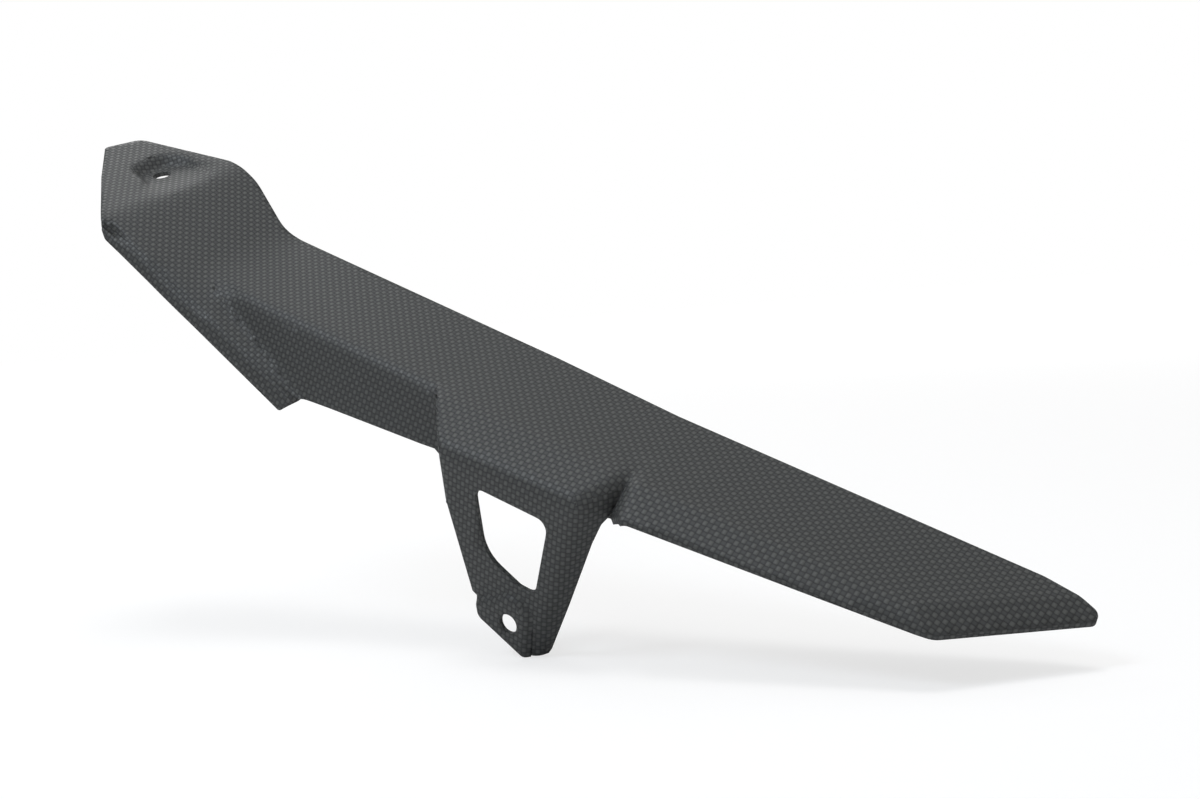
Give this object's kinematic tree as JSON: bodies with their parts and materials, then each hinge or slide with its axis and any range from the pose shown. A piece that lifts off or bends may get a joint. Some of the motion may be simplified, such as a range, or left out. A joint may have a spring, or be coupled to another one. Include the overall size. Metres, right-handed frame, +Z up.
{
  "type": "motorcycle chain guard",
  "caption": "One-piece laminate guard that shades a motorcycle's drive chain: a long strip with a bolt tab at the front, a ramp, a side skirt and a windowed bracket plate.",
  "frame": {"origin": "centre of the front bolt hole, on the outer face of its pocket's floor", "axes": "+X rearward along the guard, +Y inboard to the motorcycle's centre, +Z up; the strip's rear top is level"},
  "size_m": [0.5005, 0.0989, 0.0983],
  "materials": {
    "laminate": "matte plain-weave carbon fibre laminate"
  },
  "bodies": {
    "root": {"chain_guard": "laminate"}
  },
  "joints": []
}
